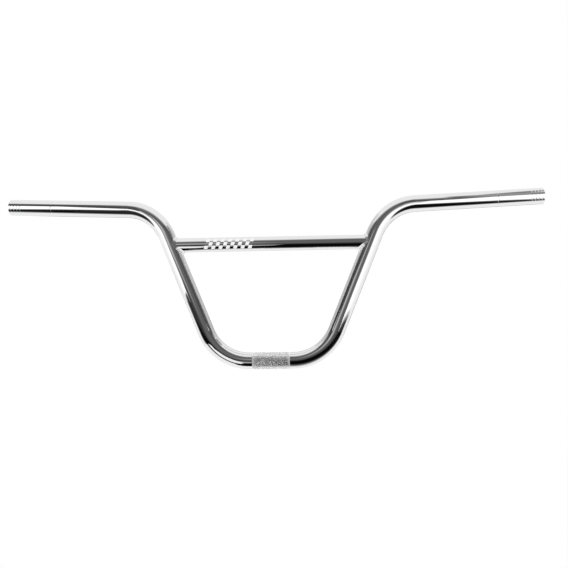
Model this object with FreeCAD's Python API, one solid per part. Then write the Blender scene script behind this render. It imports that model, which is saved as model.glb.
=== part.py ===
"""BMX handlebar: one bent tube with a straight crossbar welded across its uprights.

The frame has its origin at the middle of the stem clamp zone, +X along the clamp to the rider's
left, +Y back towards the rider and +Z up. Lengths are in millimetres and angles in degrees.
"""
import FreeCAD
import Part
import math
import os

Vector = FreeCAD.Vector

# Form of the bent bar: the width is over the rims of its ends, the rest on its centreline
WIDTH = 749.3
RISE = 223.0
BACKSWEEP_ANGLE = 11.0
UPSWEEP_ANGLE = 4.0
UPRIGHT_ANGLE = 67.7
BEND_RADIUS = 63.5
CLAMP_STRAIGHT = 58.1

# Main tube, thick through the clamp, bends and uprights and butted down to thin grips
TUBE_OD = 22.2
BODY_WALL = 1.5
GRIP_WALL = 1.0
TAPER_START = 15.0
TAPER_LENGTH = 25.0
END_CHAMFER = 0.4

# Knurled band that the stem grips, drawn at the height of the knurl's crests
KNURL_LENGTH = 50.8
KNURL_LEAD = 1.5
KNURL_PROUD = 0.15

# Rolled rings: a group of trimming marks at each end and a single one further in
MARK_COUNT = 4
MARK_FIRST = 3.6
MARK_PITCH = 4.8
MARK_WIDTH = 1.2
MARK_DEPTH = 0.25
INNER_MARK = 66.0

# Crossbar, one tube size below the main tube and just under the upper bends
TUBE_SIZE_STEP = 3.15
CROSSBAR_WALL = 0.9
CROSSBAR_DROP = 13.4

# Weld round each end of the crossbar, and the vent hole that it hides
WELD_WIDTH = 4.5
WELD_CROWN = 0.4
WELD_SINK = 0.3
WELD_SECTIONS = 18
VENT_DIAMETER = 4.0

TUBE_RADIUS = TUBE_OD / 2
CROSSBAR_RADIUS = (TUBE_OD - TUBE_SIZE_STEP) / 2
X_AXIS = Vector(1, 0, 0)
Z_AXIS = Vector(0, 0, 1)
ORIGIN = Vector(0, 0, 0)


def direction(rise_angle, sweep_angle):
    """Unit vector that climbs by one angle and leans back by the other."""
    climb = math.radians(rise_angle)
    sweep = math.radians(sweep_angle)
    return Vector(math.cos(climb) * math.cos(sweep), math.cos(climb) * math.sin(sweep), math.sin(climb))


UPRIGHT_WAY = direction(UPRIGHT_ANGLE, 0.0)
GRIP_WAY = direction(UPSWEEP_ANGLE, BACKSWEEP_ANGLE)


def bend_setback(way_in, way_out):
    """Distance from the corner of two straight runs to where their bend starts."""
    return BEND_RADIUS * math.tan(way_in.getAngle(way_out) / 2)


def left_corners():
    """Sharp corners of the left half: lower bend, upper bend and end of the grip."""
    lower = X_AXIS * (CLAMP_STRAIGHT / 2 + bend_setback(X_AXIS, UPRIGHT_WAY))
    rim_overhang = (TUBE_RADIUS - END_CHAMFER) * math.sin(X_AXIS.getAngle(GRIP_WAY))
    reach = WIDTH / 2 - rim_overhang - lower.x
    determinant = UPRIGHT_WAY.x * GRIP_WAY.z - GRIP_WAY.x * UPRIGHT_WAY.z
    upright_run = (reach * GRIP_WAY.z - RISE * GRIP_WAY.x) / determinant
    grip_run = (UPRIGHT_WAY.x * RISE - UPRIGHT_WAY.z * reach) / determinant
    upper = lower + UPRIGHT_WAY * upright_run
    return [lower, upper, upper + GRIP_WAY * grip_run]


LOWER_CORNER, UPPER_CORNER, GRIP_END = left_corners()
UPRIGHT_TOP = UPPER_CORNER - UPRIGHT_WAY * bend_setback(UPRIGHT_WAY, GRIP_WAY)
UPRIGHT_FOOT = LOWER_CORNER + UPRIGHT_WAY * bend_setback(X_AXIS, UPRIGHT_WAY)
GRIP_START = UPPER_CORNER + GRIP_WAY * bend_setback(UPRIGHT_WAY, GRIP_WAY)
TAPER_FOOT = GRIP_START + GRIP_WAY * TAPER_START
GRIP_LENGTH = (GRIP_END - TAPER_FOOT).Length
JOINT = UPRIGHT_TOP - UPRIGHT_WAY * CROSSBAR_DROP


def mirrored(point):
    return Vector(-point.x, point.y, point.z)


def both_sides(shape):
    """A shape of the left half and its mirror image."""
    return [shape, shape.mirror(ORIGIN, X_AXIS)]


def rod(start, way, radius, length):
    return Part.makeCylinder(radius, length, start, way)


def bent_path(corners):
    """Straight runs between the corners, each corner rounded by one bend."""
    edges = []
    start = corners[0]
    for before, corner, after in zip(corners, corners[1:], corners[2:]):
        back = (before - corner).normalize()
        ahead = (after - corner).normalize()
        half_angle = back.getAngle(ahead) / 2
        setback = BEND_RADIUS / math.tan(half_angle)
        inward = (back + ahead).normalize()
        middle = corner + inward * (BEND_RADIUS / math.sin(half_angle) - BEND_RADIUS)
        entry = corner + back * setback
        leave = corner + ahead * setback
        edges.append(Part.LineSegment(start, entry).toShape())
        edges.append(Part.Arc(entry, middle, leave).toShape())
        start = leave
    edges.append(Part.LineSegment(start, corners[-1]).toShape())
    return Part.Wire(edges)


def bent_rod(radius):
    """Solid rod through the clamp, bends and uprights, as far as the foot of each grip's taper."""
    left = [LOWER_CORNER, UPPER_CORNER, TAPER_FOOT]
    right = [mirrored(point) for point in reversed(left)]
    profile = Part.makeCircle(radius, right[0], right[1] - right[0])
    return bent_path(right + left).makePipe(Part.Face(Part.Wire(profile)))


def knurl_band():
    """Crest envelope of the knurl: a low collar with a lead at each end."""
    crest = TUBE_RADIUS + KNURL_PROUD
    half = KNURL_LENGTH / 2
    outline = [
        Vector(-half, 0, 0),
        Vector(-half, 0, TUBE_RADIUS),
        Vector(KNURL_LEAD - half, 0, crest),
        Vector(half - KNURL_LEAD, 0, crest),
        Vector(half, 0, TUBE_RADIUS),
        Vector(half, 0, 0),
        Vector(-half, 0, 0),
    ]
    return Part.Face(Part.makePolygon(outline)).revolve(ORIGIN, X_AXIS, 360)


def left_grip():
    """Left grip, turned from one profile: rings and rim outside, taper and thin bore inside."""
    thin_radius = TUBE_RADIUS - GRIP_WALL
    thick_radius = TUBE_RADIUS - BODY_WALL
    marks = [INNER_MARK] + [MARK_FIRST + MARK_PITCH * index for index in reversed(range(MARK_COUNT))]
    profile = [(thick_radius, 0), (TUBE_RADIUS, 0)]
    for mark in marks:
        centre = GRIP_LENGTH - mark
        profile.append((TUBE_RADIUS, centre - MARK_WIDTH / 2))
        profile.append((TUBE_RADIUS - MARK_DEPTH, centre))
        profile.append((TUBE_RADIUS, centre + MARK_WIDTH / 2))
    profile.append((TUBE_RADIUS, GRIP_LENGTH - END_CHAMFER))
    profile.append((TUBE_RADIUS - END_CHAMFER, GRIP_LENGTH))
    profile.append((thin_radius, GRIP_LENGTH))
    profile.append((thin_radius, TAPER_LENGTH))
    outline = [Vector(radius, 0, along) for radius, along in profile + profile[:1]]
    grip = Part.Face(Part.makePolygon(outline)).revolve(ORIGIN, Z_AXIS, 360)
    grip.Placement = FreeCAD.Placement(TAPER_FOOT, FreeCAD.Rotation(Z_AXIS, GRIP_WAY))
    return grip


def main_bar():
    """The whole bent tube, with a vent hole inside each end of the crossbar."""
    vent = rod(JOINT, X_AXIS * -1, VENT_DIAMETER / 2, 2 * TUBE_RADIUS)
    blank = bent_rod(TUBE_RADIUS).fuse(knurl_band())
    body = blank.cut([bent_rod(TUBE_RADIUS - BODY_WALL)] + both_sides(vent))
    return body.fuse(both_sides(left_grip()))


def crossbar_rod(radius):
    """Solid rod between the centrelines of the two uprights."""
    return rod(mirrored(JOINT), X_AXIS, radius, 2 * JOINT.x)


def crossbar():
    """Tube with a saddle cut at each end, where it sits on the uprights."""
    tube = crossbar_rod(CROSSBAR_RADIUS).cut(crossbar_rod(CROSSBAR_RADIUS - CROSSBAR_WALL))
    return tube.cut(bent_rod(TUBE_RADIUS))


def weld_section(turn):
    """Section of the left bead at an angle round the crossbar, from its top.

    The bead keeps its width from toe to toe, so its legs are short where the tubes meet at a wide
    angle and long where they meet at a sharp one. Each leg is measured square to the corner line on
    the tube's unrolled surface. The toes and core are sunk, so that the tubes trim the bead to fit.
    """
    lean, climb = UPRIGHT_WAY.x, UPRIGHT_WAY.z
    side = CROSSBAR_RADIUS * math.sin(turn)
    height = CROSSBAR_RADIUS * math.cos(turn)
    depth = math.sqrt(TUBE_RADIUS ** 2 - side ** 2)
    reach = (height * lean - depth) / climb
    reach_rate = (side * height / depth - side * lean) / climb
    corner = JOINT + Vector(reach, side, height)
    gap = math.pi - Vector(0, side, height).getAngle(Vector(-climb * depth, side, lean * depth))
    leg = WELD_WIDTH / (2 * math.sin(gap / 2))

    slant = math.hypot(CROSSBAR_RADIUS, reach_rate)
    toe_turn = turn + leg * reach_rate / (slant * CROSSBAR_RADIUS)
    sunk = CROSSBAR_RADIUS - WELD_SINK
    toe_reach = reach - leg * CROSSBAR_RADIUS / slant
    crossbar_toe = JOINT + Vector(toe_reach, sunk * math.sin(toe_turn), sunk * math.cos(toe_turn))

    round_rate = TUBE_RADIUS * height / depth
    along_rate = reach_rate * lean - side * climb
    slant = math.hypot(round_rate, along_rate)
    toe_angle = math.asin(side / TUBE_RADIUS) - leg * along_rate / (slant * TUBE_RADIUS)
    toe_along = reach * lean + height * climb + leg * round_rate / slant
    facing = Vector(-climb, 0, lean) * math.cos(toe_angle) + Vector(0, math.sin(toe_angle), 0)
    upright_toe = JOINT + UPRIGHT_WAY * toe_along + facing * (TUBE_RADIUS - WELD_SINK)

    middle = (crossbar_toe + upright_toe) * 0.5
    outward = (middle - corner).normalize()
    crown = middle + outward * (WELD_CROWN + WELD_SINK)
    core = corner - outward * leg / 2
    return [crossbar_toe, crown, upright_toe, core]


def faceted_ring(sections):
    """Closed ring through sections with as many points each, in flat facets."""
    facets = []
    for near, far in zip(sections, sections[1:] + sections[:1]):
        for index in range(len(near)):
            corners = [near[index - 1], near[index], far[index], far[index - 1]]
            for facet in (corners[:3], corners[2:] + corners[:1]):
                facets.append(Part.Face(Part.makePolygon(facet + facet[:1])))
    return Part.makeSolid(Part.makeShell(facets))


def left_weld():
    """Crowned bead in the corner between the crossbar and the left upright."""
    turns = [2 * math.pi * index / WELD_SECTIONS for index in range(WELD_SECTIONS)]
    ring = faceted_ring([weld_section(turn) for turn in turns])
    upright = rod(UPRIGHT_FOOT, UPRIGHT_WAY, TUBE_RADIUS, (UPRIGHT_TOP - UPRIGHT_FOOT).Length)
    return ring.cut([upright, crossbar_rod(CROSSBAR_RADIUS)])


def export(name, shape):
    shape.exportStep(os.path.join("parts", name + ".step"))


os.makedirs("parts", exist_ok=True)
export("main_bar", main_bar())
export("crossbar", crossbar())
for weld_name, weld in zip(("left_weld", "right_weld"), both_sides(left_weld())):
    export(weld_name, weld)
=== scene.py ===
"""Looks of a chromed BMX handlebar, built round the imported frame. Lengths are in metres."""
import math
import random

import bpy
from mathutils import Matrix, Vector


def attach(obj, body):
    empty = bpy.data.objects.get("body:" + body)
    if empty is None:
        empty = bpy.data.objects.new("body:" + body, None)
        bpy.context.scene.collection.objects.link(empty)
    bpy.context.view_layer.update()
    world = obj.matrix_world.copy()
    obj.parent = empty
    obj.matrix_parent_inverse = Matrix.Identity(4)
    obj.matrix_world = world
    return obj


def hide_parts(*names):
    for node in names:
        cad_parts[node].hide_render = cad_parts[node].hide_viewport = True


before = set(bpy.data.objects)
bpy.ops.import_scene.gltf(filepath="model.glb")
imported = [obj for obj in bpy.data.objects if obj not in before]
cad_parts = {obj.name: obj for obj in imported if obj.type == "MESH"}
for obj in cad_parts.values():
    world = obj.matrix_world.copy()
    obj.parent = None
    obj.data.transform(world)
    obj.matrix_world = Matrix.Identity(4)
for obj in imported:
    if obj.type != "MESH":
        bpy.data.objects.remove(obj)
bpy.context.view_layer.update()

MM = 0.001

# Form of the bar, as in the solids
WIDTH = 749.3 * MM
RISE = 223.0 * MM
BACKSWEEP = math.radians(11.0)
UPSWEEP = math.radians(4.0)
UPRIGHT_ANGLE = math.radians(67.7)
BEND_RADIUS = 63.5 * MM
CLAMP_STRAIGHT = 58.1 * MM
TUBE_RADIUS = 11.1 * MM
BODY_WALL = 1.5 * MM
GRIP_WALL = 1.0 * MM
TAPER_START = 15.0 * MM
TAPER_LENGTH = 25.0 * MM
END_CHAMFER = 0.4 * MM
KNURL_LENGTH = 50.8 * MM
KNURL_LEAD = 1.5 * MM
KNURL_PROUD = 0.15 * MM
MARK_COUNT = 4
MARK_FIRST = 3.6 * MM
MARK_PITCH = 4.8 * MM
MARK_WIDTH = 1.2 * MM
INNER_MARK = 66.0 * MM
CROSSBAR_RADIUS = 9.525 * MM
CROSSBAR_DROP = 13.4 * MM
CROSSBAR_WALL = 0.9 * MM
WELD_WIDTH = 4.5 * MM
WELD_CROWN = 0.4 * MM

# Fineness of the meshes: the knurl has two points for each side of the tube
KNURL_ROWS = 32
KNURL_SAMPLES = 8
SIDES = KNURL_ROWS * KNURL_SAMPLES // 2
BEND_STEPS = 40
BORE_STRIDE = 4
BORE_PROFILE_RINGS = 4
CROSSBAR_SHARES = [0.0, 0.02, 0.06] + [index / 24 for index in range(2, 23)] + [0.94, 0.98, 1.0]
BEAD_STATIONS_PER_RIPPLE = 12
BEAD_STEPS = 8
DECAL_STEPS = 6
SHARP_ANGLE = math.radians(50)
BEAD_SHARP_ANGLE = math.radians(70)

# Detail that only the looks carry
MARK_DEPTH = 0.08 * MM
KNURL_SHOULDER = 0.4 * MM
KNURL_SEED = 7
KNURL_DEPTH = 0.22 * MM
KNURL_GROOVE = 0.25
KNURL_SLANT = 0.11
# Painted shade in the knurl's groove bottoms, partly grime: how much the tone darkens there
KNURL_GROOVE_SHADE_AND_GRIME = 0.25
KNURL_WEAR_DEPTH = 0.04 * MM
KNURL_WEAR_TONE = 0.35
KNURL_RIM = 2.6 * MM
KNURL_RUNOUT = 1.2 * MM
BEAD_RIPPLES = 22
BEAD_SINK = 0.05 * MM
BEAD_RIPPLE_DEPTH = 0.3 * MM
BEAD_NECK = 0.03
BEAD_WANDER = 0.04
# Below this cosine of its turn the bead takes the pale satin: a dull finish and a painted highlight
BEAD_DULL_HIGHLIGHT_LIMIT = -0.45
DECAL_START = -88.0 * MM
DECAL_HALF_HEIGHT = 7.4 * MM
DECAL_LEAN = 4.5 * MM
DECAL_LENGTH = 65.0 * MM
DECAL_ROWS, DECAL_COLUMNS = 3, 13
DECAL_PROUD = 0.03 * MM
DECAL_GAP = 0.01

# Section of a rolled ring as (share of its width, share of its depth), with a flat shoulder each side
MARK_SHAPE = ((-0.62, 0.0), (-0.5, 0.0), (-0.3, 0.4), (-0.12, 0.9), (0.0, 1.0),
              (0.12, 0.9), (0.3, 0.4), (0.5, 0.0), (0.62, 0.0))

# Wander of a bead's width as (share, waves round the bead, phase)
BEAD_WAVES = ((0.12, 5, 1.3), (0.08, 9, 0.4))

# Places in the material lists of the bar and of the beads
TUBE_SLOT, KNURL_SLOT, RIM_SLOT, BORE_SLOT = range(4)
BEAD_SLOT, DULL_HIGHLIGHT_SLOT = range(2)

# Camera: angles in degrees, aim and distance in metres, focal length in pixels of the frame
CAMERA_AZIMUTH, CAMERA_ELEVATION, CAMERA_ROLL = 4.13, -5.65, -0.57
CAMERA_AIM = Vector((17.84, 0, 103.11)) * MM
CAMERA_DISTANCE = 1.5
FOCAL_PIXELS = 1111.05
FRAME_PIXELS = 568
SENSOR_WIDTH = 36.0

FLOOR_REACH = 12.0
FLOOR_HEIGHT = -0.75

X_AXIS = Vector((1, 0, 0))


def direction(climb, sweep):
    """Unit vector on the +X side that climbs and sweeps back by these angles."""
    return Vector((math.cos(climb) * math.cos(sweep), math.cos(climb) * math.sin(sweep), math.sin(climb)))


UPRIGHT_WAY = direction(UPRIGHT_ANGLE, 0.0)
GRIP_WAY = direction(UPSWEEP, BACKSWEEP)


def setback(way_in, way_out):
    """Distance from a bend's corner to where its arc starts."""
    return BEND_RADIUS * math.tan(way_in.angle(way_out) / 2)


LOWER_CORNER = X_AXIS * (CLAMP_STRAIGHT / 2 + setback(X_AXIS, UPRIGHT_WAY))
RIM_OVERHANG = (TUBE_RADIUS - END_CHAMFER) * math.sin(X_AXIS.angle(GRIP_WAY))
REACH = WIDTH / 2 - RIM_OVERHANG - LOWER_CORNER.x
DETERMINANT = UPRIGHT_WAY.x * GRIP_WAY.z - GRIP_WAY.x * UPRIGHT_WAY.z
UPPER_CORNER = LOWER_CORNER + UPRIGHT_WAY * ((REACH * GRIP_WAY.z - RISE * GRIP_WAY.x) / DETERMINANT)
GRIP_END = UPPER_CORNER + GRIP_WAY * ((UPRIGHT_WAY.x * RISE - UPRIGHT_WAY.z * REACH) / DETERMINANT)
UPRIGHT_TOP = UPPER_CORNER - UPRIGHT_WAY * setback(UPRIGHT_WAY, GRIP_WAY)
JOINT = UPRIGHT_TOP - UPRIGHT_WAY * CROSSBAR_DROP


def mesh_object(name, points, faces, materials, face_slots=None, sharp_angle=SHARP_ANGLE, tones=None):
    """Smooth mesh with its own material for each face, and a grey tone for each point where given."""
    mesh = bpy.data.meshes.new(name)
    mesh.from_pydata([tuple(point) for point in points], [], faces)
    if tones:
        layer = mesh.color_attributes.new("tone", "FLOAT_COLOR", "POINT")
        for datum, tone in zip(layer.data, tones):
            datum.color = (tone, tone, tone, 1)
    for material in materials:
        mesh.materials.append(material)
    for index, polygon in enumerate(mesh.polygons):
        polygon.use_smooth = True
        if face_slots:
            polygon.material_index = face_slots[index]
    mesh.validate()
    mesh.set_sharp_from_angle(angle=sharp_angle)
    piece = bpy.data.objects.new(name, mesh)
    bpy.context.scene.collection.objects.link(piece)
    return piece


# Bar sweep: rings of points along the bent centreline


def half_stations():
    """Centreline of one half as (place, way), from the middle of the clamp to the end of the upper bend."""
    corners = [Vector((0, 0, 0)), LOWER_CORNER, UPPER_CORNER, GRIP_END]
    stations = [(corners[0], X_AXIS)]
    for before, corner, after in zip(corners, corners[1:], corners[2:]):
        way_in = (corner - before).normalized()
        way_out = (after - corner).normalized()
        turn = way_in.angle(way_out)
        axis = way_in.cross(way_out).normalized()
        entry = corner - way_in * BEND_RADIUS * math.tan(turn / 2)
        centre = entry + axis.cross(way_in) * BEND_RADIUS
        for step in range(BEND_STEPS + 1):
            spin = Matrix.Rotation(turn * step / BEND_STEPS, 3, axis)
            stations.append((centre + spin @ (entry - centre), spin @ way_in))
    return stations


def carried_frames(stations):
    """Frames along the line that turn as little as they can, so rings join without twist."""
    across = Vector((0, 1, 0))
    frames = []
    previous = stations[0][1]
    for place, way in stations:
        across = previous.rotation_difference(way) @ across
        frames.append((place, way, across, way.cross(across)))
        previous = way
    return frames


def ring(frame_at, radius, sides):
    """Points round the centreline at one of its frames."""
    place, _, across, up = frame_at
    points = []
    for side in range(sides):
        angle = 2 * math.pi * side / sides
        points.append(place + (across * math.cos(angle) + up * math.sin(angle)) * radius)
    return points


def mirrored(points):
    return [Vector((-point.x, point.y, point.z)) for point in points]


def bridge(rings):
    """Points and quads of a tube through equal rings."""
    sides = len(rings[0])
    points = [point for one in rings for point in one]
    faces = []
    for row in range(len(rings) - 1):
        for side in range(sides):
            after = (side + 1) % sides
            low, high = row * sides, (row + 1) * sides
            faces.append((low + side, low + after, high + after, high + side))
    return points, faces


def closed_bridge(rings):
    """Points and quads of a tube through equal rings whose last ring meets its first."""
    points, faces = bridge(rings)
    sides = len(rings[0])
    last = len(points) - sides
    for side in range(sides):
        after = (side + 1) % sides
        faces.append((last + side, last + after, after, side))
    return points, faces


def grip_profile(length):
    """Turned grip from the end of the upper bend: (distance along, radius), outside then inside."""
    outline = [(0.0, TUBE_RADIUS)]
    marks = [INNER_MARK] + [MARK_FIRST + MARK_PITCH * index for index in reversed(range(MARK_COUNT))]
    for mark in marks:
        centre = length - mark
        for share, depth in MARK_SHAPE:
            outline.append((centre + share * MARK_WIDTH, TUBE_RADIUS - depth * MARK_DEPTH))
    outline.append((length - 2 * END_CHAMFER, TUBE_RADIUS))
    outline.append((length - END_CHAMFER, TUBE_RADIUS))
    outline.append((length - 0.3 * END_CHAMFER, TUBE_RADIUS - 0.3 * END_CHAMFER))
    outline.append((length, TUBE_RADIUS - END_CHAMFER))
    outline.append((length, TUBE_RADIUS - GRIP_WALL))
    outline.append((TAPER_START + TAPER_LENGTH, TUBE_RADIUS - GRIP_WALL))
    outline.append((TAPER_START, TUBE_RADIUS - BODY_WALL))
    outline.append((0.0, TUBE_RADIUS - BODY_WALL))
    return outline


def main_bar(chrome, knurl, rim, steel):
    """The bent tube with open ends, and the knurled band as true diamonds in its middle."""
    frames = carried_frames(half_stations())
    grip_start = frames[-1]
    length = (GRIP_END - grip_start[0]).length
    shoulder = (X_AXIS * (KNURL_LENGTH / 2 + KNURL_SHOULDER),) + frames[0][1:]
    half = [ring(one, TUBE_RADIUS, SIDES) for one in [shoulder] + frames[1:]]
    for along, radius in grip_profile(length)[1:]:
        half.append(ring((grip_start[0] + GRIP_WAY * along,) + grip_start[1:], radius, SIDES))
    mouth = len(half) - BORE_PROFILE_RINGS
    bore = [one for index, one in enumerate(frames[1:-1]) if index % (BEND_STEPS + 1) % BORE_STRIDE == 0]
    half += [ring(one, TUBE_RADIUS - BODY_WALL, SIDES) for one in reversed(bore)]
    points, faces = bridge(half + [mirrored(one) for one in reversed(half)])
    far_ring = len(points) - SIDES
    far_mouth = 2 * len(half) - 1 - mouth
    slots = []
    for index in range(len(faces)):
        slots.append(BORE_SLOT if mouth <= index // SIDES < far_mouth else TUBE_SLOT)
    band_points, band_faces, band_tones = knurl_mesh()
    offset = len(points)
    tones = [1.0] * offset + band_tones
    for face in band_faces:
        faces.append(tuple(offset + index for index in face))
        inner = min(abs(band_points[index].x) for index in face)
        slots.append(RIM_SLOT if inner >= KNURL_LENGTH / 2 - KNURL_RIM else KNURL_SLOT)
    points += band_points
    around = 2 * SIDES
    band_end = len(points) - around
    for side in range(SIDES):
        after = (side + 1) % SIDES
        edge = (2 * side, 2 * side + 1, (2 * side + 2) % around)
        near_edge = tuple(band_end + index for index in edge)
        far_edge = tuple(offset + index for index in reversed(edge))
        faces.append(near_edge + (after, side))
        faces.append((far_ring + side, far_ring + after) + far_edge)
        slots += [TUBE_SLOT, TUBE_SLOT]
    return mesh_object("main_bar_looks", points, faces, [chrome, knurl, rim, steel], slots, tones=tones)


def knurl_mesh():
    """Diamond knurl: two crossed sets of vee grooves, run out in a plain rim at each end."""
    around = KNURL_ROWS * KNURL_SAMPLES
    circumference = 2 * math.pi * (TUBE_RADIUS + KNURL_PROUD)
    pitch = circumference / KNURL_ROWS
    step = pitch / KNURL_SAMPLES
    columns = int(round(KNURL_LENGTH / step))
    dice = random.Random(KNURL_SEED)
    slant = {}
    rings, tones = [], []
    for column in range(columns + 1):
        along = -KNURL_LENGTH / 2 + KNURL_LENGTH * column / columns
        inset = KNURL_LENGTH / 2 - abs(along)
        lift = KNURL_PROUD * min(1.0, inset / KNURL_LEAD)
        fade = min(1.0, inset / KNURL_RUNOUT)
        one = []
        for row in range(around):
            spin = 2 * math.pi * row / around
            share_u = row / KNURL_SAMPLES + along / pitch
            share_v = row / KNURL_SAMPLES - along / pitch
            place = (math.floor(share_u), math.floor(share_v))
            off_u = share_u - place[0] - 0.5
            off_v = share_v - place[1] - 0.5
            edge = min(0.5 - abs(off_u), 0.5 - abs(off_v)) * 2
            diamond = (place[0] % KNURL_ROWS, place[1] % KNURL_ROWS)
            if diamond not in slant:
                slant[diamond] = (dice.uniform(-1, 1), dice.uniform(-1, 1), dice.uniform(0.0, 1.0))
            lean_u, lean_v, worn = slant[diamond]
            sunk = 1 - min(1.0, edge / KNURL_GROOVE)
            fall = abs(lean_u) / 2 + abs(lean_v) / 2 - lean_u * off_u - lean_v * off_v
            tipped = KNURL_SLANT * pitch * fall
            radius = TUBE_RADIUS + lift - fade * (KNURL_DEPTH * sunk + tipped + KNURL_WEAR_DEPTH * worn)
            one.append(Vector((along, radius * math.cos(spin), radius * math.sin(spin))))
            # Tone: painted shade, partly grime, darkens the groove bottoms; worn diamonds are dimmed at
            # random
            tones.append(1 - KNURL_GROOVE_SHADE_AND_GRIME * sunk - KNURL_WEAR_TONE * worn)
        rings.append(one)
    points, faces = bridge(rings)
    return points, faces, tones


def crossbar(chrome):
    """Straight tube with its bore, saddle-cut where it meets the uprights."""
    rings = []
    lean, climb = UPRIGHT_WAY.x, UPRIGHT_WAY.z
    bore = CROSSBAR_RADIUS - CROSSBAR_WALL
    stations = [(CROSSBAR_RADIUS, share) for share in CROSSBAR_SHARES] + [(bore, 1.0), (bore, 0.0)]
    for radius, share in stations:
        one = []
        for side in range(SIDES):
            turn = 2 * math.pi * side / SIDES
            offset = -radius * math.sin(turn)
            height = radius * math.cos(turn)
            reach = (height * lean - math.sqrt(TUBE_RADIUS ** 2 - offset ** 2)) / climb
            end = JOINT.x + reach
            one.append(Vector((end * (2 * share - 1), offset, JOINT.z + height)))
        rings.append(one)
    points, faces = closed_bridge(rings)
    return mesh_object("crossbar_looks", points, faces, [chrome])


def weld_section(turn, width, crown):
    """Crowned section of the bead on the +X side: the crossbar's toe to the upright's, then the corner."""
    lean, climb = UPRIGHT_WAY.x, UPRIGHT_WAY.z
    side = CROSSBAR_RADIUS * math.sin(turn)
    height = CROSSBAR_RADIUS * math.cos(turn)
    depth = math.sqrt(TUBE_RADIUS ** 2 - side ** 2)
    reach = (height * lean - depth) / climb
    reach_rate = (side * height / depth - side * lean) / climb
    corner = JOINT + Vector((reach, side, height))
    gap = math.pi - Vector((0, side, height)).angle(Vector((-climb * depth, side, lean * depth)))
    leg = width / (2 * math.sin(gap / 2))
    crown *= min(1.0, (math.pi - gap) * 2 / math.pi)
    slant = math.hypot(CROSSBAR_RADIUS, reach_rate)
    toe_turn = turn + leg * reach_rate / (slant * CROSSBAR_RADIUS)
    toe_reach = reach - leg * CROSSBAR_RADIUS / slant
    crossbar_toe = JOINT + Vector(
        (toe_reach, CROSSBAR_RADIUS * math.sin(toe_turn), CROSSBAR_RADIUS * math.cos(toe_turn)))
    round_rate = TUBE_RADIUS * height / depth
    along_rate = reach_rate * lean - side * climb
    slant = math.hypot(round_rate, along_rate)
    toe_angle = math.asin(side / TUBE_RADIUS) - leg * along_rate / (slant * TUBE_RADIUS)
    toe_along = reach * lean + height * climb + leg * round_rate / slant
    facing = Vector((-climb, 0, lean)) * math.cos(toe_angle) + Vector((0, math.sin(toe_angle), 0))
    upright_toe = JOINT + UPRIGHT_WAY * toe_along + facing * TUBE_RADIUS
    middle = (crossbar_toe + upright_toe) / 2
    outward = (middle - corner).normalized()
    section = []
    for step in range(BEAD_STEPS + 1):
        share = step / BEAD_STEPS
        chord = crossbar_toe.lerp(upright_toe, share)
        section.append(chord + outward * crown * 4 * share * (1 - share))
    section[0] -= outward * BEAD_SINK
    section[-1] -= outward * BEAD_SINK
    section.append(corner - outward * BEAD_SINK)
    return section


def weld(name, mirror, chrome, satin_highlight):
    """Rippled bead in the corner between the crossbar and an upright, dull where the corner is sharp, and
    there pale and half diffuse as a painted highlight.
    """
    stations = BEAD_RIPPLES * BEAD_STATIONS_PER_RIPPLE
    rings = []
    for station in range(stations):
        turn = 2 * math.pi * station / stations
        phase = (BEAD_RIPPLES * station / stations) % 1
        ripple = 1 - (2 * phase - 1) ** 2
        wander = sum(share * math.sin(waves * turn + start) for share, waves, start in BEAD_WAVES)
        width = WELD_WIDTH * (1.0 + BEAD_WANDER * wander - BEAD_NECK * (1 - ripple))
        rings.append(weld_section(turn, width, WELD_CROWN - BEAD_RIPPLE_DEPTH * (1 - ripple)))
    points, faces = closed_bridge(rings)
    if mirror:
        points = mirrored(points)
        faces = [tuple(reversed(face)) for face in faces]
    quads = len(rings[0])
    slots = []
    for index in range(len(faces)):
        turn = 2 * math.pi * (index // quads) / stations
        # The lower part takes the pale satin, a painted highlight
        slots.append(DULL_HIGHLIGHT_SLOT if math.cos(turn) < BEAD_DULL_HIGHLIGHT_LIMIT else BEAD_SLOT)
    return mesh_object(name, points, faces, [chrome, satin_highlight], slots, sharp_angle=BEAD_SHARP_ANGLE)


# Materials


def new_material(name):
    material = bpy.data.materials.new(name)
    material.use_nodes = True
    nodes = material.node_tree.nodes
    return material, nodes, material.node_tree.links, nodes["Principled BSDF"]


def metal_finish(name, base, rough_low, rough_high, bump_height, scale, metal=1.0, tone_name=None):
    """Metal with a faint haze and waviness from fine noise."""
    material, nodes, links, shader = new_material(name)
    shader.inputs["Base Color"].default_value = (*base, 1)
    shader.inputs["Metallic"].default_value = metal
    coordinates = nodes.new("ShaderNodeTexCoord")
    haze = nodes.new("ShaderNodeTexNoise")
    haze.inputs["Scale"].default_value = scale
    haze.inputs["Detail"].default_value = 6.0
    spread = nodes.new("ShaderNodeMapRange")
    spread.inputs["To Min"].default_value = rough_low
    spread.inputs["To Max"].default_value = rough_high
    links.new(coordinates.outputs["Object"], haze.inputs["Vector"])
    links.new(haze.outputs["Fac"], spread.inputs["Value"])
    links.new(spread.outputs["Result"], shader.inputs["Roughness"])
    waves = nodes.new("ShaderNodeTexNoise")
    waves.inputs["Scale"].default_value = scale * 0.6
    waves.inputs["Detail"].default_value = 2.0
    bump = nodes.new("ShaderNodeBump")
    bump.inputs["Strength"].default_value = 1.0
    bump.inputs["Distance"].default_value = bump_height
    links.new(coordinates.outputs["Object"], waves.inputs["Vector"])
    links.new(waves.outputs["Fac"], bump.inputs["Height"])
    links.new(bump.outputs["Normal"], shader.inputs["Normal"])
    if tone_name:
        tone = nodes.new("ShaderNodeAttribute")
        tone.attribute_name = tone_name
        links.new(tone.outputs["Color"], shader.inputs["Base Color"])
    return material


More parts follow.
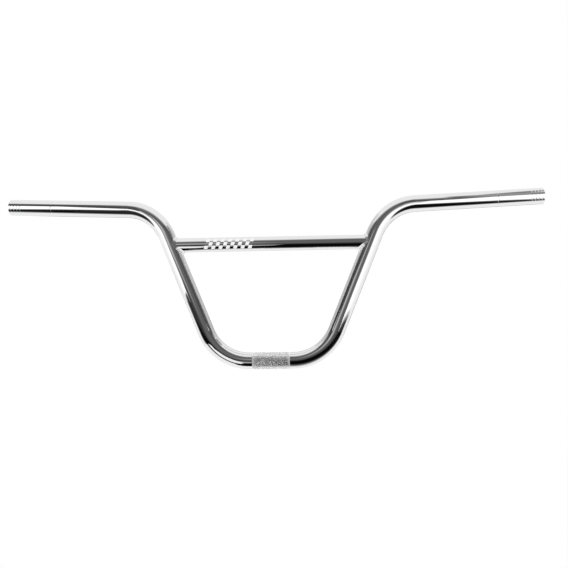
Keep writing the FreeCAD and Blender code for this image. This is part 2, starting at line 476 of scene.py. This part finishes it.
def decal_material():
    """White vinyl, faintly scuffed."""
    material, nodes, links, shader = new_material("decal_vinyl")
    coordinates = nodes.new("ShaderNodeTexCoord")
    scuffs = nodes.new("ShaderNodeTexNoise")
    scuffs.inputs["Scale"].default_value = 900.0
    scuffs.inputs["Detail"].default_value = 4.0
    ramp = nodes.new("ShaderNodeValToRGB")
    ramp.color_ramp.elements[0].color = (0.86, 0.86, 0.86, 1)
    ramp.color_ramp.elements[1].color = (0.97, 0.97, 0.97, 1)
    ramp.color_ramp.elements[0].position = 0.3
    ramp.color_ramp.elements[1].position = 0.6
    links.new(coordinates.outputs["Object"], scuffs.inputs["Vector"])
    links.new(scuffs.outputs["Fac"], ramp.inputs["Fac"])
    links.new(ramp.outputs["Color"], shader.inputs["Base Color"])
    shader.inputs["Roughness"].default_value = 0.5
    shader.inputs["Specular IOR Level"].default_value = 0.2
    return material


def decal(material):
    """White and bare checks on the front of the crossbar, leaning along it."""
    outer = CROSSBAR_RADIUS + DECAL_PROUD
    inner = CROSSBAR_RADIUS - DECAL_PROUD
    points, faces = [], []
    for row in range(DECAL_ROWS):
        for column in range(row % 2, DECAL_COLUMNS, 2):
            rings = []
            for step in range(DECAL_STEPS + 1):
                lift = (row + step / DECAL_STEPS) / DECAL_ROWS
                spin = DECAL_HALF_HEIGHT * (2 * lift - 1) / outer
                lean = DECAL_LEAN * (lift - 0.5)
                left, right = (DECAL_START + DECAL_LENGTH * edge / DECAL_COLUMNS + lean
                               for edge in (column + DECAL_GAP, column + 1 - DECAL_GAP))
                one = []
                for x, radius in ((left, outer), (right, outer), (right, inner), (left, inner)):
                    one.append(Vector((x, -radius * math.cos(spin), JOINT.z + radius * math.sin(spin))))
                rings.append(one)
            base = len(points)
            check_points, check_faces = bridge(rings)
            check_faces += [(3, 2, 1, 0), tuple(range(len(check_points) - 4, len(check_points)))]
            points += check_points
            faces += [tuple(base + index for index in face) for face in check_faces]
    return mesh_object("crossbar_decal", points, faces, [material])


# Stage: soft white surroundings, floor, cards that only reflections see, and camera


def glow_cards(name, cards):
    """Panels that only reflections see. Each corner is (x, y, z in mm, glow)."""
    points, faces, glow = [], [], []
    for corners in cards:
        faces.append(tuple(range(len(points), len(points) + len(corners))))
        for x, y, z, level in corners:
            points.append((x * MM, y * MM, z * MM))
            glow.append(level)
    mesh = bpy.data.meshes.new(name)
    mesh.from_pydata(points, [], faces)
    layer = mesh.color_attributes.new("glow", "FLOAT_COLOR", "POINT")
    for datum, level in zip(layer.data, glow):
        datum.color = (level, level, level, 1)
    material = bpy.data.materials.new(name)
    material.use_nodes = True
    nodes = material.node_tree.nodes
    nodes.clear()
    reading = nodes.new("ShaderNodeAttribute")
    reading.attribute_name = "glow"
    emission = nodes.new("ShaderNodeEmission")
    output = nodes.new("ShaderNodeOutputMaterial")
    material.node_tree.links.new(reading.outputs["Color"], emission.inputs["Color"])
    material.node_tree.links.new(emission.outputs["Emission"], output.inputs["Surface"])
    mesh.materials.append(material)
    panels = bpy.data.objects.new(name, mesh)
    bpy.context.scene.collection.objects.link(panels)
    panels.visible_camera = False
    panels.visible_diffuse = False
    panels.visible_transmission = False
    panels.visible_shadow = False


def wall(depth, low_left, high_right, levels):
    """Upright panel across the view. Levels: low left, low right, high right and high left corner."""
    (x0, z0), (x1, z1) = low_left, high_right
    corners = ((x0, z0), (x1, z0), (x1, z1), (x0, z1))
    return [(x, depth, z, level) for (x, z), level in zip(corners, levels)]


def tray(height, rear_left, forward_right, levels):
    """Level panel. Levels: forward left, forward right, rear right and rear left corner."""
    (x0, y1), (x1, y0) = rear_left, forward_right
    corners = ((x0, y0), (x1, y0), (x1, y1), (x0, y1))
    return [(x, y, height, level) for (x, y), level in zip(corners, levels)]


def upright_panel(depth, *corners):
    """Upright panel across the view, with each corner as (x, z, level)."""
    return [(x, depth, z, level) for x, z, level in corners]


def side_panel(across, *corners):
    """Upright panel at one side, with each corner as (y, z, level)."""
    return [(across, y, z, level) for y, z, level in corners]


def level_panel(height, *corners):
    """Level panel, with each corner as (x, y, level)."""
    return [(x, y, height, level) for x, y, level in corners]


def studio():
    """White surroundings and a pale floor, with cards for the chrome to mirror."""
    world = bpy.data.worlds.new("studio")
    bpy.context.scene.world = world
    world.use_nodes = True
    world.node_tree.nodes["Background"].inputs["Color"].default_value = (1, 1, 1, 1)
    world.node_tree.nodes["Background"].inputs["Strength"].default_value = 1.0
    floor_mesh = bpy.data.meshes.new("floor")
    signs = ((-1, -1), (1, -1), (1, 1), (-1, 1))
    floor_points = [(FLOOR_REACH * across, FLOOR_REACH * along, 0) for across, along in signs]
    floor_mesh.from_pydata(floor_points, [], [(0, 1, 2, 3)])
    pale, _, _, shader = new_material("pale_floor")
    shader.inputs["Base Color"].default_value = (0.94, 0.94, 0.94, 1)
    shader.inputs["Roughness"].default_value = 1.0
    shader.inputs["Specular IOR Level"].default_value = 0.0
    shader.inputs["Emission Color"].default_value = (1, 1, 1, 1)
    shader.inputs["Emission Strength"].default_value = 0.06
    floor_mesh.materials.append(pale)
    floor = bpy.data.objects.new("floor", floor_mesh)
    floor.location = (0, 0, FLOOR_HEIGHT)
    bpy.context.scene.collection.objects.link(floor)

    grey, dark, black, white = 0.14, 0.06, 0.003, 1.35
    # Layers of the front wall from the back one to the nearest, then the other walls and levels, in mm
    front, front_black, front_grey = -1020, -1016, -1014
    front_patch, front_sheet, front_band = -1010, -1008, -1006
    rear, far_rear = 1500, 2600
    flank, outer_flank = 1700, 1710
    ground, ground_sheet, pale_ground, tray_top = -705, -700, -150, -115
    # Left and right are the camera's: left is -X
    glow_cards("reflection_cards", [
        # Bright boxes in front at the sides
        wall(front, (-3000, 60), (-890, 700), [white] * 4),
        wall(front, (-3000, -100), (-1150, 60), [white] * 4),
        wall(front, (-1150, -100), (-890, 60), [white, 0.6, white, white]),
        wall(front, (-3000, -740), (-1150, -100), [1.0, 1.0, white, white]),
        wall(front, (-1150, -740), (-890, -100), [0.8, 0.4, 0.6, white]),
        wall(front, (-890, -260), (-640, 700), [0.5, 0.2, 0.3, white]),
        wall(front, (560, -740), (3000, 640), [white] * 4),
        # Grey middle of the front wall, darkest low down, fading to white at the top
        wall(front_black, (-640, -740), (560, -150), [black] * 4),
        wall(front_grey, (-640, -150), (560, 100), [0.05, 0.1, grey, 0.1]),
        wall(front_grey, (-640, 100), (560, 450), [0.15, grey, grey, grey]),
        wall(front_grey, (-900, 450), (690, 950), [grey, 0.16, 0.11, grey]),
        wall(front_grey, (-1250, 950), (950, 1450), [0.12, 0.12, 0.42, 0.42]),
        wall(front_grey, (-1250, 1450), (950, 2000), [0.42, 0.42, 1.1, 1.1]),
        # Lighter patches either side of the middle
        wall(front_patch, (-580, 190), (-170, 520), [0.68, 0.38, 0.36, 0.72]),
        wall(front_patch, (-170, 190), (-60, 520), [0.38, grey, grey, 0.36]),
        wall(front_patch, (400, 0), (690, 420), [grey, white, 0.6, grey]),
        # Dark low corners of the front wall
        upright_panel(front_patch, (-1050, -330, 0.01), (-330, -150, 0.03), (-400, 100, 0.1),
                      (-560, 95, 0.06), (-800, 30, 0.05), (-950, -60, 0.06)),
        upright_panel(front_patch, (280, -160, 0.02), (640, -300, black), (640, -110, 0.03),
                      (420, -20, 0.07)),
        # Dark bands high on both sides, turning along the flanks
        upright_panel(front_band, (-850, 230, dark), (-690, 560, 0.09), (-690, 1120, 0.1),
                      (-1200, 1600, 0.12), (-1100, 690, dark)),
        upright_panel(front_band, (-1100, 690, dark), (-1200, 1600, 0.1), (-1700, 1400, 0.06),
                      (-1700, 700, 0.02)),
        upright_panel(front_band, (-1150, 1560, 0.12), (-1100, 2100, 0.5), (-1700, 2100, 0.5),
                      (-1700, 1400, 0.06)),
        upright_panel(front_band, (540, 485, 0.1), (760, 520, 0.1), (760, 1230, 0.22), (540, 1260, 0.1),
                      (320, 960, 0.08)),
        upright_panel(front_band, (760, 520, 0.1), (880, 640, 0.09), (880, 1300, 0.14),
                      (760, 1230, 0.22)),
        upright_panel(front_band, (880, 640, 0.09), (1010, 690, 0.07), (1700, 900, 0.05),
                      (1700, 1400, 0.08), (1040, 1350, 0.12), (880, 1300, 0.14)),
        upright_panel(front_band, (880, 1300, 0.14), (1040, 1350, 0.12), (1040, 1600, 0.35),
                      (880, 1560, 0.4)),
        upright_panel(front_band, (1040, 1350, 0.12), (1700, 1400, 0.08), (1700, 1800, 0.3),
                      (1040, 1600, 0.35)),
        upright_panel(front_band, (880, 1560, 0.4), (1040, 1600, 0.35), (1060, 1950, 1.2),
                      (890, 1900, 1.0)),
        upright_panel(front_band, (1040, 1600, 0.35), (1700, 1800, 0.3), (1700, 2200, 1.2),
                      (1060, 1950, 1.2)),
        upright_panel(front_band, (540, 1260, 0.1), (760, 1230, 0.22), (890, 1900, 1.0),
                      (700, 1900, 0.7)),
        upright_panel(front_band, (760, 1230, 0.22), (880, 1300, 0.14), (880, 1560, 0.4),
                      (890, 1900, 1.0)),
        side_panel(-flank, (-1000, 640, 0.01), (-50, 640, 0.03), (-50, 1100, 0.1), (-1000, 1200, 0.05)),
        side_panel(-flank, (-1000, 1200, 0.05), (-50, 1100, 0.1), (-50, 1600, 0.7), (-1000, 2000, 0.5)),
        side_panel(flank, (-1000, 640, 0.03), (20, 640, 0.05), (20, 1120, 0.14), (-1000, 1280, 0.06)),
        side_panel(flank, (-1000, 1280, 0.06), (20, 1120, 0.14), (20, 1500, 0.7), (-1000, 1800, 0.5)),
        # Grey screen over the end of the right grip: two slanted leaves and a panel beyond them
        [(345, -162, 290, 0.12), (430, -205, 322, 0.36), (430, -205, 700, 0.36),
         (345, -162, 540, 0.14)],
        [(430, -205, 322, 0.36), (640, -310, 475, 0.38), (640, -310, 900, 0.35),
         (430, -205, 700, 0.36)],
        side_panel(560, (-330, 640, 0.2), (26, 640, 0.38), (26, 835, 0.38), (-100, 930, 0.3),
                   (-230, 970, 0.25), (-330, 970, 0.2)),
        # Flanks: bright low down, greyer above towards the back
        side_panel(-outer_flank, (-1000, -740, 1.15), (2500, -740, 1.05), (2500, 620, 1.0),
                   (-1000, 620, white)),
        side_panel(outer_flank, (-1000, -740, 1.15), (2500, -740, 1.05), (2500, 620, 1.0),
                   (-1000, 620, white)),
        side_panel(-outer_flank, (-50, 620, 0.5), (2500, 620, 0.66), (2500, 2600, 0.85),
                   (-50, 2600, 0.85)),
        side_panel(outer_flank, (20, 620, 0.5), (2500, 620, 0.66), (2500, 2600, 0.85),
                   (20, 2600, 0.85)),
        # Low ground far below the bar: black, with a white sheet left of the middle that climbs the wall
        level_panel(ground, (-1700, -1000, black), (600, -1000, black), (600, -110, black),
                    (-290, -110, black), (-360, -260, black), (-1700, -450, black)),
        level_panel(ground_sheet, (-1300, -1000, 0.8), (-250, -1000, 1.2), (-255, -560, 0.9),
                    (-400, -490, 0.9), (-760, -610, 0.9)),
        upright_panel(front_sheet, (-1300, -705, 1.1), (-250, -705, 1.0), (-265, -400, 0.7),
                      (-340, -310, 1.0), (-470, -265, 1.0), (-900, -480, 1.2)),
        upright_panel(front_sheet, (-250, -660, 0.55), (-130, -660, 0.45), (-130, -250, 0.4),
                      (-265, -330, 0.55)),
        upright_panel(front_sheet, (-130, -660, 0.45), (-45, -660, 0.08), (-45, -220, 0.12),
                      (-130, -250, 0.4)),
        # Black trays nearer to the bar, left and right of the sheet
        tray(tray_top, (-720, -120), (-345, -1000), [black] * 4),
        level_panel(tray_top, (-720, -120, black), (-860, -120, 0.11), (-890, -560, 0.12),
                    (-1060, -1000, 0.1), (-720, -1000, black)),
        level_panel(tray_top, (-860, -120, 0.11), (-930, -100, 0.9), (-970, -560, 0.9),
                    (-1150, -1000, 0.9), (-1060, -1000, 0.1), (-890, -560, 0.12)),
        tray(tray_top, (-860, -50), (-345, -120), [0.11, black, 0.13, 0.2]),
        tray(tray_top, (-880, 20), (-345, -50), [0.2, 0.13, 0.85, 0.85]),
        tray(tray_top, (-30, -85), (500, -560), [black] * 4),
        tray(tray_top, (-30, -560), (200, -800), [0.02, 0.14, 0.09, black]),
        tray(tray_top, (200, -560), (500, -800), [0.14, 0.1, 0.02, 0.06]),
        tray(tray_top, (500, -85), (570, -800), [0.08, 0.12, 0.03, black]),
        tray(tray_top, (570, -85), (640, -800), [0.12, 0.9, 0.9, 0.03]),
        tray(tray_top, (-30, -40), (600, -85), [black, black, 0.14, 0.13]),
        tray(tray_top, (-30, 15), (620, -40), [0.13, 0.14, 0.85, 0.85]),
        # Dark shelf left of the bar, level with the clamp
        level_panel(0, (-345, -130, 0.03), (-340, -300, 0.02), (-335, -500, 0.02), (-595, -500, 0.05),
                    (-570, -430, 0.05), (-540, -325, 0.045), (-512, -245, 0.035), (-465, -130, 0.02)),
        # Pale ground under and behind the bar
        level_panel(pale_ground, (-2500, 10, 1.1), (2500, 10, 1.1), (2500, 160, 1.0),
                    (-2500, 160, 1.0)),
        level_panel(pale_ground, (-2500, 160, 1.0), (2500, 160, 1.0), (2500, 750, 1.1),
                    (-2500, 750, 1.1)),
        level_panel(pale_ground, (-2500, 750, 1.1), (2500, 750, 1.1), (2500, 1500, 0.35),
                    (-2500, 1500, 0.35)),
        # Back of the room: soft light above, and a low wall that darkens downwards
        upright_panel(far_rear, (-2500, 700, 0.85), (2500, 700, 0.85), (2500, 4200, 1.05),
                      (-2500, 4200, 1.05)),
        wall(rear, (-800, 450), (800, 850), [0.12, 0.12, 0.8, 0.8]),
        wall(rear, (-800, 150), (800, 450), [0.03, 0.03, 0.12, 0.12]),
        wall(rear, (-800, -150), (800, 150), [black, black, 0.02, 0.02]),
    ])


def camera():
    """Low front view, a little to the right of the middle."""
    angles = (CAMERA_AZIMUTH, CAMERA_ELEVATION, CAMERA_ROLL)
    azimuth, elevation, roll = (math.radians(angle) for angle in angles)
    level = math.cos(elevation)
    back = Vector((math.sin(azimuth) * level, -math.cos(azimuth) * level, math.sin(elevation)))
    right = Vector((math.cos(azimuth), math.sin(azimuth), 0))
    up = right.cross(-back)
    right_rolled = right * math.cos(roll) + up * math.sin(roll)
    up_rolled = up * math.cos(roll) - right * math.sin(roll)
    place = CAMERA_AIM + back * CAMERA_DISTANCE
    data = bpy.data.cameras.new("camera")
    data.sensor_width = SENSOR_WIDTH
    data.lens = FOCAL_PIXELS * SENSOR_WIDTH / FRAME_PIXELS
    data.clip_start, data.clip_end = 0.05, 60.0
    eye = bpy.data.objects.new("camera", data)
    columns = (right_rolled, up_rolled, back)
    turn = Matrix([[column[row] for column in columns] for row in range(3)])
    eye.matrix_world = Matrix.Translation(place) @ turn.to_4x4()
    bpy.context.scene.collection.objects.link(eye)
    bpy.context.scene.camera = eye


camera()
studio()
chrome = metal_finish("polished_chrome", (0.8, 0.8, 0.81), 0.02, 0.06, 0.004 * MM, 120.0)
knurl_chrome = metal_finish("knurl_chrome", (0.9, 0.9, 0.9), 0.06, 0.14, 0.004 * MM, 900.0,
                               metal=0.85, tone_name="tone")
rim_chrome = metal_finish("rim_chrome", (0.96, 0.96, 0.97), 0.42, 0.52, 0.003 * MM, 900.0, metal=0.85)
# Pale, half diffuse satin: a dull finish that also paints a highlight on the lower bead
bead_satin_highlight = metal_finish("bead_satin_highlight", (0.97, 0.97, 0.97), 0.24, 0.34, 0.01 * MM, 700.0, metal=0.5)
bead_chrome = metal_finish("bead_chrome", (0.8, 0.8, 0.81), 0.12, 0.22, 0.01 * MM, 700.0)
bore_steel = metal_finish("bore_steel", (0.36, 0.35, 0.34), 0.4, 0.6, 0.02 * MM, 400.0, metal=0.8)

bar = main_bar(chrome, knurl_chrome, rim_chrome, bore_steel)
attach(bar, "root")
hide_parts("main_bar")
cross = crossbar(chrome)
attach(cross, "root")
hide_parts("crossbar")
for weld_name, mirror in (("left_weld", False), ("right_weld", True)):
    bead = weld(weld_name + "_looks", mirror, bead_chrome, bead_satin_highlight)
    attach(bead, "root")
    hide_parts(weld_name)
checks = decal(decal_material())
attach(checks, "root")

bpy.context.scene.view_settings.view_transform = "Standard"
